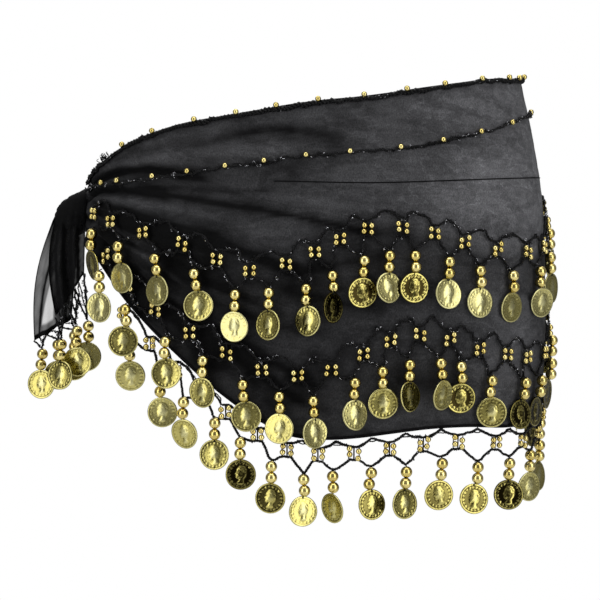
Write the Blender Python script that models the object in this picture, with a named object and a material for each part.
# A hip scarf of black chiffon, tied at one side of an unseen wearer's hips, with crocheted rows of
# gold beads and coins. The cloth is an open, hollow wrap. It is gathered into a knot at the side,
# and the two ends of the scarf hang from the knot.
#
# Metres, +Z up, the front faces -Y. The origin is the middle of the hips at the height of the knot.
# An azimuth of 0 degrees is the middle of the front, 90 is the side at +X, 180 is the back, and
# -90, which is also 270, is the side with the knot.

import math
from collections import namedtuple

import bmesh
import bpy
import numpy as np
from mathutils import Matrix, Vector

MM = 0.001

# Driving sizes
CLOTH_WALL = 1.5 * MM
COIN_RADIUS = 10.5 * MM
COIN_HALF_THICKNESS = 0.6 * MM
BEAD_HALF_SIDE = 3.5 * MM
YARN_HALF_WIDTH = 0.8 * MM
YARN_HALF_THICKNESS = 0.6 * MM
YARN_STAND_OFF = 1.4 * MM
CELL_RISE = 9.5 * MM
CLUSTER_HALF_WIDTH = 3.8 * MM
CLUSTER_HALF_HEIGHT = 4.8 * MM
CLUSTER_HALF_THICKNESS = 1.8 * MM
BEAD_STEP = 7.7 * MM
FIRST_BEAD_DROP = 4.2 * MM
COIN_BELOW_BEAD = 14.1 * MM
DEPTH_OVER_WIDTH = 0.70
ROUNDNESS = 2.4
SEAM_AZIMUTH = 88.0

# The widest and narrowest of a general hip form, with the cloth on it
Level = namedtuple("Level", "height half_width")
FORM = [
    Level(-220, 154),
    Level(-163, 157),
    Level(-110, 161),
    Level(-72, 161.5),
    Level(0, 159),
    Level(46, 152),
    Level(88, 143),
    Level(110, 138),
]

# Heights in millimetres round the wrap, from the knot by the front to the knot again.
# lift is how far the cloth leaves the form as it climbs to the knot.
Station = namedtuple("Station", "azimuth lift top trim row_one row_two hem")
STATIONS = [
    Station(-84.4, 9, 12, 6, -6, -18, -32),
    Station(-72, 6, 27, 9, -12, -30, -44),
    Station(-60, 3, 40, 11, -22, -60, -74),
    Station(-48, 1, 49, 14, -30, -85, -104),
    Station(-36, 0, 54, 18, -42, -102, -131),
    Station(-24, 0, 58, 21, -52, -117, -151),
    Station(-12, 0, 62, 25, -47, -123, -164),
    Station(0, 0, 65, 27, -37, -122, -167),
    Station(12, 0, 67, 29, -25, -111, -166),
    Station(24, 0, 70, 31, -22, -99, -163),
    Station(36, 0, 74, 35, -26, -96, -160),
    Station(48, 0, 78, 41, -34, -105, -159),
    Station(60, 0, 82, 48, -38, -110, -160),
    Station(74, 0, 84, 57, -36, -111, -157),
    Station(90, 0, 87, 62, -11, -88, -137),
    Station(108, 0, 86, 61, 2, -72, -112),
    Station(135, 0, 82, 54, 2, -60, -98),
    Station(160, 0, 76, 46, 2, -52, -92),
    Station(185, 0, 68, 38, 4, -44, -87),
    Station(205, 0, 59, 31, 4, -37, -80),
    Station(220, 0, 51, 25, 2, -32, -67),
    Station(235, 2, 41, 18, -2, -24, -48),
    Station(250, 6, 27, 11, -6, -20, -36),
    Station(264.4, 9, 12, 6, -6, -18, -32),
]

# The largest folds, as troughs that run along the cloth and fade out between two azimuths.
# share is the place between the top edge, 0, and the hem, 1; width is a share too.
Fold = namedtuple("Fold", "start finish start_share finish_share width depth")
FOLDS = [
    Fold(-84.4, 24, 0.15, 0.42, 0.040, 5.0),
    Fold(-84.4, 6, 0.26, 0.57, 0.042, 5.5),
    Fold(-84.4, -8, 0.60, 0.64, 0.050, 4.5),
    Fold(-84.4, 8, 0.80, 0.88, 0.050, 5.0),
    Fold(175, 264.4, 0.22, 0.16, 0.050, 5.0),
    Fold(140, 264.4, 0.40, 0.36, 0.055, 6.0),
    Fold(150, 264.4, 0.62, 0.57, 0.055, 6.0),
    Fold(190, 264.4, 0.80, 0.78, 0.050, 5.0),
]

# The cells of each row across the front: the azimuths where a cell starts and where its drop hangs,
# how far the drop hangs below the row, and the azimuth that its coin faces, turned on its thread.
Cell = namedtuple("Cell", "start drop hang faces")
ROW_ONE_CELLS = [
    Cell(-73.4, -70.8, 8.7, -64),
    Cell(-65.6, -60.8, 9.3, -42),
    Cell(-55.2, -50.3, 11.2, -42),
    Cell(-44.1, -39.9, 11.8, -12),
    Cell(-34, -28.4, 14.7, -24),
    Cell(-24, -17.9, 12.2, -39),
    Cell(-12.3, -5.2, 18.5, -36),
    Cell(-2.5, 3.7, 18.1, 52),
    Cell(6.2, 14.1, 17.2, 18),
    Cell(15.6, 22.5, 15.6, 36),
    Cell(26.8, 30.4, 14.1, 18),
    Cell(36.4, 40.3, 12.9, 32),
    Cell(45.1, 49.3, 13.1, 32),
    Cell(55, 59.4, 13.1, 45),
    Cell(65.8, 70.5, 9.6, 39),
    Cell(75.5, 80, 10, 60),
    Cell(86, 91, 10, 72),
]
ROW_TWO_CELLS = [
    Cell(-67.1, -65.7, 6.3, -34),
    Cell(-59.4, -57.7, 9.2, -8),
    Cell(-51.2, -47.9, 11.3, -12),
    Cell(-41.7, -38, 10.1, -35),
    Cell(-31.2, -26, 10.7, -10),
    Cell(-20.3, -14.5, 11.4, -21),
    Cell(-8.3, -3, 13.7, 38),
    Cell(3.1, 11.2, 12.6, 36),
    Cell(14.1, 20.5, 14.9, 11),
    Cell(22.8, 28.5, 15.4, 50),
    Cell(31.8, 37.8, 14.4, 46),
    Cell(40.6, 43.8, 11.9, 8),
    Cell(49.4, 52.5, 16.2, 5),
    Cell(58, 64, 14.4, 42),
    Cell(65.6, 71.7, 12.3, 62),
    Cell(76, 80.5, 10, 70),
    Cell(86, 91, 10, 84),
]
HEM_CELLS = [
    Cell(-61.2, -59.3, 12.2, -6),
    Cell(-53.2, -50.9, 15.7, -8),
    Cell(-46.1, -44.5, 15.2, -32),
    Cell(-39.3, -35.8, 10.2, -15),
    Cell(-32.2, -28, 9.8, -6),
    Cell(-22.3, -17.9, 12.4, -11),
    Cell(-12.4, -6.7, 13.7, 24),
    Cell(-1.5, 3.8, 10.7, -48),
    Cell(11.3, 17.2, 10.6, 30),
    Cell(23.3, 28.7, 13.3, 36),
    Cell(34, 39.5, 10, 18),
    Cell(44.5, 50.8, 13.5, 18),
    Cell(56.3, 61.7, 11, 8),
    Cell(66.5, 71.7, 8, 39),
    Cell(76.5, 81, 11, 60),
    Cell(86.5, 91.5, 11, 78),
]

# The rest of each row goes round the back in even cells. near_knot is how much further its drops
# stand off where the rows draw together and lie over each other.
Row = namedtuple("Row", "name column cells back_start last back_cells stand_off near_knot")
ROWS = [
    Row("row_one", "row_one", ROW_ONE_CELLS, 96, 246, 14, 0.0, 3.5),
    Row("row_two", "row_two", ROW_TWO_CELLS, 96, 219, 12, 1.0, 6.5),
]
HEM_ROW = Row("hem_net", "hem", HEM_CELLS, 96.5, 226, 13, 0.0, 0.0)
BACK_HANG = 12.0
ROW_LEAD = -83.0
LEAD_STEPS = 4
HEM_NET_GAP = 1.2 * MM
KNOT_REACH = 50.0

# The knot, as an egg with soft lobes that leans along the cloth's slope. Its radii run along the
# slope, front to back and across the slope.
KNOT_CENTRE = Vector((-174.5, 0.0, -9.5)) * MM
KNOT_RADII = Vector((19.5, 17.2, 14.5)) * MM
KNOT_SLOPE = math.radians(38)
KNOT_GAP = 0.35 * MM

# The two ends of the scarf that hang from the knot. bulge is how far the left edge swings out.
Tail = namedtuple(
    "Tail",
    "node top_left top_right bottom_left bottom_right left right low_left low_right bulge side y_low faces",
)
TAILS = [
    Tail("tail_front", -4, 9, -84, -53, -188, -168, -190, -169.5, 6.0, -1, -14.0, -30),
    Tail("tail_rear", -6, 2, -101, -86, -190, -173, -207, -180, 7.0, 1, 6.0, -20),
]
TailDrop = namedtuple("TailDrop", "node x y z")
TAIL_DROPS = [
    TailDrop("tail_front", -186, -18, -99.5),
    TailDrop("tail_front", -174.9, -14, -90.1),
    TailDrop("tail_front", -167.7, -10, -86.5),
    TailDrop("tail_rear", -201.6, 2, -106.7),
    TailDrop("tail_rear", -190, 6, -100.2),
    TailDrop("tail_rear", -178.5, 10, -93.7),
]
TAIL_SETTLE = 0.22
TAIL_PLEATS = 2.5
TAIL_PLEAT_DEPTH = 3.0 * MM

FRONT_COLUMNS = 31
BACK_COLUMNS = 27
CLOTH_ROWS = 20
TRIM_STEPS = 72


def hermite(x, xs, ys):
    """The smooth curve through the points of two equally long lists, at x."""
    x = min(max(x, xs[0]), xs[-1])
    i = min(max(int(np.searchsorted(xs, x)) - 1, 0), len(xs) - 2)
    slope = [
        (ys[min(k + 1, len(ys) - 1)] - ys[max(k - 1, 0)])
        / (xs[min(k + 1, len(xs) - 1)] - xs[max(k - 1, 0)])
        for k in (i, i + 1)
    ]
    width = xs[i + 1] - xs[i]
    t = (x - xs[i]) / width
    return (
        (1 + 2 * t) * (1 - t) ** 2 * ys[i]
        + t * (1 - t) ** 2 * width * slope[0]
        + t * t * (3 - 2 * t) * ys[i + 1]
        + t * t * (t - 1) * width * slope[1]
    )


def height(column, azimuth):
    """A column of the table of stations at an azimuth, in metres."""
    return MM * hermite(
        azimuth, [s.azimuth for s in STATIONS], [getattr(s, column) for s in STATIONS]
    )


def form_radius(azimuth, z):
    """How far the form's surface is from the middle, as a rounded oval at each height."""
    half_width = MM * hermite(z / MM, [f.height for f in FORM], [f.half_width for f in FORM])
    across = abs(math.sin(math.radians(azimuth))) / half_width
    deep = abs(math.cos(math.radians(azimuth))) / (half_width * DEPTH_OVER_WIDTH)
    return (across**ROUNDNESS + deep**ROUNDNESS) ** (-1 / ROUNDNESS)


def outward(azimuth):
    return Vector((math.sin(math.radians(azimuth)), -math.cos(math.radians(azimuth)), 0))


def ring_point(azimuth, z):
    radius = form_radius(azimuth, z) + height("lift", azimuth)
    return outward(azimuth) * radius + Vector((0, 0, z))


def normal(azimuth, z):
    """The level direction that the wrap's outer envelope faces."""
    along = ring_point(azimuth + 0.5, z) - ring_point(azimuth - 0.5, z)
    return Vector((along.y, -along.x, 0)).normalized()


def skin(azimuth, z, out=0.0):
    """A point of the wrap's outer envelope, or that far outside it."""
    return ring_point(azimuth, z) + normal(azimuth, z) * out


def trough(azimuth, share):
    """How deep the folds press the cloth in from its envelope."""
    depth = 0.0
    for fold in FOLDS:
        span = fold.finish - fold.start
        part = (azimuth - fold.start) / span
        if not 0 <= part <= 1:
            continue
        towards_knot = 1 - part if fold.start < 0 else part
        fade = math.sin(0.5 * math.pi * towards_knot) ** 1.2
        middle = fold.start_share + part * (fold.finish_share - fold.start_share)
        away = (share - middle) / fold.width
        away *= 0.8 if away > 0 else 1.25
        depth = max(depth, fold.depth * fade * math.exp(-away * away))
    return depth * MM


class Sheet:
    """A thin piece, made of named points that each have an outer and an inner side."""

    def __init__(self):
        self.sides = {}
        self.quads = []

    def point(self, key, middle, half):
        """Adds a point whose outer side is at middle + half and whose inner side is at middle - half."""
        self.sides[key] = (middle + half, middle - half)

    def quad(self, *keys):
        self.quads.append(keys)

    def build(self, name, material):
        """Closes the sheet along its free edges, and makes it an object."""
        mesh = bmesh.new()
        outer = {k: mesh.verts.new(s[0]) for k, s in self.sides.items()}
        inner = {k: mesh.verts.new(s[1]) for k, s in self.sides.items()}
        edges = {}
        for keys in self.quads:
            mesh.faces.new([outer[k] for k in keys])
            mesh.faces.new([inner[k] for k in reversed(keys)])
            for a, b in zip(keys, keys[1:] + keys[:1]):
                edges[frozenset((a, b))] = None if frozenset((a, b)) in edges else (a, b)
        for free in filter(None, edges.values()):
            a, b = free
            mesh.faces.new([outer[b], outer[a], inner[a], inner[b]])
        return finish(mesh, name, material)


def finish(mesh, name, material):
    bmesh.ops.recalc_face_normals(mesh, faces=mesh.faces)
    data = bpy.data.meshes.new(name)
    mesh.to_mesh(data)
    mesh.free()
    data.materials.append(material)
    data.shade_smooth()
    data.set_sharp_from_angle(angle=math.radians(40))
    made = bpy.data.objects.new(name, data)
    bpy.context.scene.collection.objects.link(made)
    return made


def material(name, colour, roughness, metallic):
    made = bpy.data.materials.new(name)
    made.use_nodes = True
    shader = made.node_tree.nodes["Principled BSDF"]
    shader.inputs["Base Color"].default_value = (*colour, 1)
    shader.inputs["Roughness"].default_value = roughness
    shader.inputs["Metallic"].default_value = metallic
    made.diffuse_color = (*colour, 1)
    return made


def stretch(name, start, finish_azimuth, columns, cloth):
    """One stretch of the wrapped cloth, between two azimuths."""
    sheet = Sheet()
    for i in range(columns):
        azimuth = start + (finish_azimuth - start) * i / (columns - 1)
        top, hem = height("top", azimuth), height("hem", azimuth)
        for j in range(CLOTH_ROWS + 1):
            share = j / CLOTH_ROWS
            z = top + (hem - top) * share
            outer = skin(azimuth, z, -trough(azimuth, share))
            half = normal(azimuth, z) * CLOTH_WALL / 2
            sheet.point((i, j), outer - half, half)
    for i in range(columns - 1):
        for j in range(CLOTH_ROWS):
            sheet.quad((i, j), (i, j + 1), (i + 1, j + 1), (i + 1, j))
    return sheet.build(name, cloth)


def trim(name, column, yarn):
    """A crocheted line that runs along the cloth, on its outside."""
    sheet = Sheet()
    first, last = STATIONS[0].azimuth, STATIONS[-1].azimuth
    rise = Vector((0, 0, YARN_HALF_WIDTH))
    below_edge = rise * 1.2 if column == "top" else Vector()
    for i in range(TRIM_STEPS + 1):
        azimuth = first + (last - first) * i / TRIM_STEPS
        z = height(column, azimuth)
        middle = skin(azimuth, z, YARN_STAND_OFF) - below_edge
        half = normal(azimuth, z) * YARN_HALF_THICKNESS
        sheet.point((i, 0), middle + rise, half)
        sheet.point((i, 1), middle - rise, half)
    for i in range(TRIM_STEPS):
        sheet.quad((i, 0), (i, 1), (i + 1, 1), (i + 1, 0))
    return sheet.build(name, yarn)


Mark = namedtuple("Mark", "azimuth hang faces")


def row_marks(row):
    """A row's cell ends and, between them, its drops, each with its hang and its coin's facing."""
    marks = []
    for cell in row.cells:
        marks.append(Mark(cell.start, None, None))
        marks.append(Mark(cell.drop, cell.hang * MM, cell.faces))
    step = (row.last - row.back_start) / row.back_cells
    for k in range(row.back_cells):
        start = row.back_start + k * step
        faces = start + step / 2 + 26 * math.sin(2.4 * (k + 1))
        marks.append(Mark(start, None, None))
        marks.append(Mark(start + step / 2, BACK_HANG * MM, faces))
    marks.append(Mark(row.last, None, None))
    return marks


def extra_stand_off(row, azimuth):
    """How far a row's drops stand off, in metres."""
    from_knot = min(azimuth + 90, 236 - azimuth)
    near = min(max((KNOT_REACH - from_knot) / 20, 0), 1)
    return (row.stand_off + row.near_knot * near) * MM


def add_drop(sheet, key, root, side, out, faces, place):
    """A thread with two beads and a coin, hung from two points of the sheet.
    place(depth, stand_off) gives the middle of the drop that far below its root."""
    coin_out = outward(faces)
    coin_side = Vector((-coin_out.y, coin_out.x, 0))
    coin_depth = FIRST_BEAD_DROP + BEAD_STEP + COIN_BELOW_BEAD
    corner = COIN_RADIUS * math.tan(math.pi / 8)
    bead_off = BEAD_HALF_SIDE + 0.7 * MM
    coin_off = 1.4 * MM + COIN_RADIUS * abs(coin_side.dot(out))
    rings = [
        (FIRST_BEAD_DROP, BEAD_HALF_SIDE, BEAD_HALF_SIDE, bead_off, side, out),
        (FIRST_BEAD_DROP + BEAD_STEP / 2, 1.2 * MM, 1.2 * MM, bead_off, side, out),
        (FIRST_BEAD_DROP + BEAD_STEP, BEAD_HALF_SIDE, BEAD_HALF_SIDE, bead_off, side, out),
        (coin_depth - COIN_RADIUS, corner, COIN_HALF_THICKNESS, coin_off, coin_side, coin_out),
        (coin_depth - corner, COIN_RADIUS, COIN_HALF_THICKNESS, coin_off, coin_side, coin_out),
        (coin_depth + corner, COIN_RADIUS, COIN_HALF_THICKNESS, coin_off, coin_side, coin_out),
        (coin_depth + COIN_RADIUS, corner, COIN_HALF_THICKNESS, coin_off, coin_side, coin_out),
    ]
    above = root
    for number, (depth, wide, thick, off, across, facing) in enumerate(rings):
        middle = place(depth, off)
        pair = ((key, number, "left"), (key, number, "right"))
        sheet.point(pair[0], middle - across * wide, facing * thick)
        sheet.point(pair[1], middle + across * wide, facing * thick)
        sheet.quad(above[0], pair[0], pair[1], above[1])
        above = pair


def add_chain_end(sheet, key, middle, out):
    """The upper and lower points of the yarn where two cells meet."""
    rise = Vector((0, 0, YARN_HALF_WIDTH))
    sheet.point((key, "up"), middle + rise, out * YARN_HALF_THICKNESS)
    sheet.point((key, "down"), middle - rise, out * YARN_HALF_THICKNESS)


def add_low_point(sheet, key, middle, side, out):
    """The lowest points of the yarn in a cell, from which a drop hangs."""
    rise = Vector((0, 0, YARN_HALF_WIDTH))
    for name, shift in (("left", -1), ("right", 1)):
        at = middle + side * shift * YARN_HALF_WIDTH
        sheet.point((key, name, "up"), at + rise, out * YARN_HALF_THICKNESS)
        sheet.point((key, name, "down"), at - rise, out * YARN_HALF_THICKNESS)
    sheet.quad((key, "left", "up"), (key, "left", "down"), (key, "right", "down"), (key, "right", "up"))
    return ((key, "left", "down"), (key, "right", "down"))


def add_lower_yarn(sheet, before, low, after):
    """The yarn that dips from one cell's end to its low point and rises to the next end."""
    sheet.quad((before, "up"), (before, "down"), (low, "left", "down"), (low, "left", "up"))
    sheet.quad((low, "right", "up"), (low, "right", "down"), (after, "down"), (after, "up"))


def coin_row(row, gold):
    """A scalloped yarn on the cloth, with a drop in each cell."""
    sheet = Sheet()
    marks = row_marks(row)
    for k in range(LEAD_STEPS):
        azimuth = ROW_LEAD + (marks[0].azimuth - ROW_LEAD) * k / LEAD_STEPS
        z = height(row.column, azimuth)
        add_chain_end(sheet, -LEAD_STEPS + k, skin(azimuth, z, YARN_STAND_OFF), normal(azimuth, z))
    for i, (azimuth, hang, faces) in enumerate(marks):
        z = height(row.column, azimuth)
        out = normal(azimuth, z)
        side = Vector((-out.y, out.x, 0))
        if i % 2 == 0:
            below = CLUSTER_HALF_HEIGHT
            add_chain_end(sheet, i, skin(azimuth, z - below, YARN_STAND_OFF), out)
            continue
        z -= hang
        root = add_low_point(sheet, i, skin(azimuth, z, YARN_STAND_OFF), side, out)
        extra = extra_stand_off(row, azimuth)

        def place(depth, off, azimuth=azimuth, z=z, extra=extra):
            return skin(azimuth, z - depth, off + extra)

        add_drop(sheet, i, root, side, out, faces, place)
    for i in range(-LEAD_STEPS, 0):
        sheet.quad((i, "up"), (i, "down"), (i + 1, "down"), (i + 1, "up"))
    for i in range(1, len(marks), 2):
        add_lower_yarn(sheet, i - 1, i, i + 1)
    return sheet.build(row.name, gold)


def add_cluster(sheet, key, middle, side, out):
    """A block of four small beads, with yarn joined at the top and the bottom of each side."""
    high, low = CLUSTER_HALF_HEIGHT, CLUSTER_HALF_HEIGHT - 2 * YARN_HALF_WIDTH
    for level, tag in zip((high, low, -low, -high), "abcd"):
        for name, shift in (("left", -1), ("right", 1)):
            at = middle + side * shift * CLUSTER_HALF_WIDTH + Vector((0, 0, level))
            sheet.point((key, name, tag), at, out * CLUSTER_HALF_THICKNESS)
    for upper, lower in ("ab", "bc", "cd"):
        sheet.quad((key, "left", upper), (key, "left", lower), (key, "right", lower), (key, "right", upper))


def hem_net(row, gold):
    """The crocheted net below the hem, with open cells and a drop under each."""
    sheet = Sheet()
    rise = Vector((0, 0, YARN_HALF_WIDTH))
    inset = -YARN_HALF_THICKNESS
    marks = row_marks(row)
    for i, (azimuth, hang, faces) in enumerate(marks):
        hem = height(row.column, azimuth) - HEM_NET_GAP
        out = normal(azimuth, hem)
        side = Vector((-out.y, out.x, 0))
        if i % 2 == 0:
            add_cluster(sheet, i, skin(azimuth, hem - CELL_RISE, inset), side, out)
            continue
        tip = skin(azimuth, hem - YARN_HALF_WIDTH, inset)
        sheet.point((i, "tip", "up"), tip + rise, out * YARN_HALF_THICKNESS)
        sheet.point((i, "tip", "down"), tip - rise, out * YARN_HALF_THICKNESS)
        z = hem - CELL_RISE - hang
        root = add_low_point(sheet, i, skin(azimuth, z, inset), side, out)

        def place(depth, off, azimuth=azimuth, z=z):
            return skin(azimuth, z - depth, off * 0.25)

        add_drop(sheet, i, root, side, out, faces, place)
    for i in range(1, len(marks), 2):
        sheet.quad((i - 1, "right", "a"), (i - 1, "right", "b"), (i, "tip", "down"), (i, "tip", "up"))
        sheet.quad((i, "tip", "up"), (i, "tip", "down"), (i + 1, "left", "b"), (i + 1, "left", "a"))
        sheet.quad((i - 1, "right", "c"), (i - 1, "right", "d"), (i, "left", "down"), (i, "left", "up"))
        sheet.quad((i, "right", "up"), (i, "right", "down"), (i + 1, "left", "d"), (i + 1, "left", "c"))
    return sheet.build(row.name, gold)


def knot_scale(direction):
    """The knot's lobes: cloth wound round it in a slanting band."""
    turn = math.atan2(direction.z, direction.x)
    return 1 - 0.08 * (0.5 - 0.5 * math.cos(3 * turn + 2 * direction.y)) * (1 - direction.y**2)


def knot(cloth):
    mesh = bmesh.new()
    bmesh.ops.create_uvsphere(mesh, u_segments=16, v_segments=10, radius=1)
    lean = Matrix.Rotation(-KNOT_SLOPE, 3, "Y")
    for vertex in mesh.verts:
        direction = vertex.co.normalized()
        size = knot_scale(direction)
        vertex.co = KNOT_CENTRE + lean @ Vector(d * r * size for d, r in zip(direction, KNOT_RADII))
    return finish(mesh, "knot", cloth)


def clear_of_knot(point, gap, side):
    """The point moved to the front (-1) or the back (1) of the knot, if it lies nearer than the gap."""
    away = Matrix.Rotation(KNOT_SLOPE, 3, "Y") @ (point - KNOT_CENTRE)
    radii = [r + gap for r in KNOT_RADII]
    level = 1 - (away.x / radii[0]) ** 2 - (away.z / radii[2]) ** 2
    if level > 0:
        point.y = side * max(side * point.y, radii[1] * math.sqrt(level))
    return point


def tail_point(tail, across, down):
    """The middle of a hanging end's cloth: across runs from its left edge to its right, down from 0 to 1."""
    left = tail.left + (tail.low_left - tail.left) * down - tail.bulge * math.sin(math.pi * down)
    right = tail.right + (tail.low_right - tail.right) * down
    top = tail.top_left + (tail.top_right - tail.top_left) * across
    bottom = tail.bottom_left + (tail.bottom_right - tail.bottom_left) * across
    settled = math.sin(0.5 * math.pi * min(down / TAIL_SETTLE, 1.0))
    wave = TAIL_PLEAT_DEPTH * math.sin(2 * math.pi * TAIL_PLEATS * across) * (0.2 + 0.8 * down)
    point = Vector((left + (right - left) * across, tail.y_low * settled, top + (bottom - top) * down)) * MM
    point.y += wave * settled
    return clear_of_knot(point, KNOT_GAP + CLOTH_WALL / 2 + 0.3 * MM, tail.side)


def tail_cloth(tail, cloth):
    sheet = Sheet()
    steps_across, steps_down = 10, 12
    for i in range(steps_across + 1):
        for j in range(steps_down + 1):
            middle = tail_point(tail, i / steps_across, j / steps_down)
            sheet.point((i, j), middle, Vector((0, -CLOTH_WALL / 2, 0)))
    for i in range(steps_across):
        for j in range(steps_down):
            sheet.quad((i, j), (i, j + 1), (i + 1, j + 1), (i + 1, j))
    return sheet.build(tail.node, cloth)


def tail_drops(tail, gold):
    """The yarn that hangs from the lower edge of a hanging end to its drops."""
    sheet = Sheet()
    out, side = Vector((0, -1, 0)), Vector((1, 0, 0))
    drops = [d for d in TAIL_DROPS if d.node == tail.node]
    for i in range(len(drops) + 1):
        edge = tail_point(tail, i / len(drops), 1.0)
        edge.z -= YARN_HALF_WIDTH + 0.4 * MM
        add_chain_end(sheet, 2 * i, edge, out)
    for i, drop in enumerate(drops):
        low = Vector((drop.x, drop.y, drop.z)) * MM
        root = add_low_point(sheet, 2 * i + 1, low, side, out)

        def place(depth, off, low=low):
            return low - Vector((0, 0, depth))

        add_drop(sheet, 2 * i + 1, root, side, out, tail.faces, place)
        add_lower_yarn(sheet, 2 * i, 2 * i + 1, 2 * i + 2)
    return sheet.build(tail.node + "_drops", gold)


def main():
    for old in list(bpy.data.objects):
        bpy.data.objects.remove(old)
    chiffon = material("chiffon", (0.030, 0.030, 0.032), 0.85, 0.0)
    yarn = material("yarn", (0.010, 0.010, 0.011), 0.90, 0.0)
    gold = material("gold", (0.83, 0.62, 0.20), 0.25, 1.0)
    first, last = STATIONS[0].azimuth, STATIONS[-1].azimuth
    seam_gap = math.degrees(0.3 * MM / form_radius(SEAM_AZIMUTH, 0))
    stretch("front_stretch", first, SEAM_AZIMUTH, FRONT_COLUMNS, chiffon)
    stretch("back_stretch", SEAM_AZIMUTH + seam_gap, last, BACK_COLUMNS, chiffon)
    knot(chiffon)
    trim("waist_trim", "top", yarn)
    trim("second_trim", "trim", yarn)
    for row in ROWS:
        coin_row(row, gold)
    hem_net(HEM_ROW, gold)
    for tail in TAILS:
        tail_cloth(tail, chiffon)
        tail_drops(tail, gold)


main()
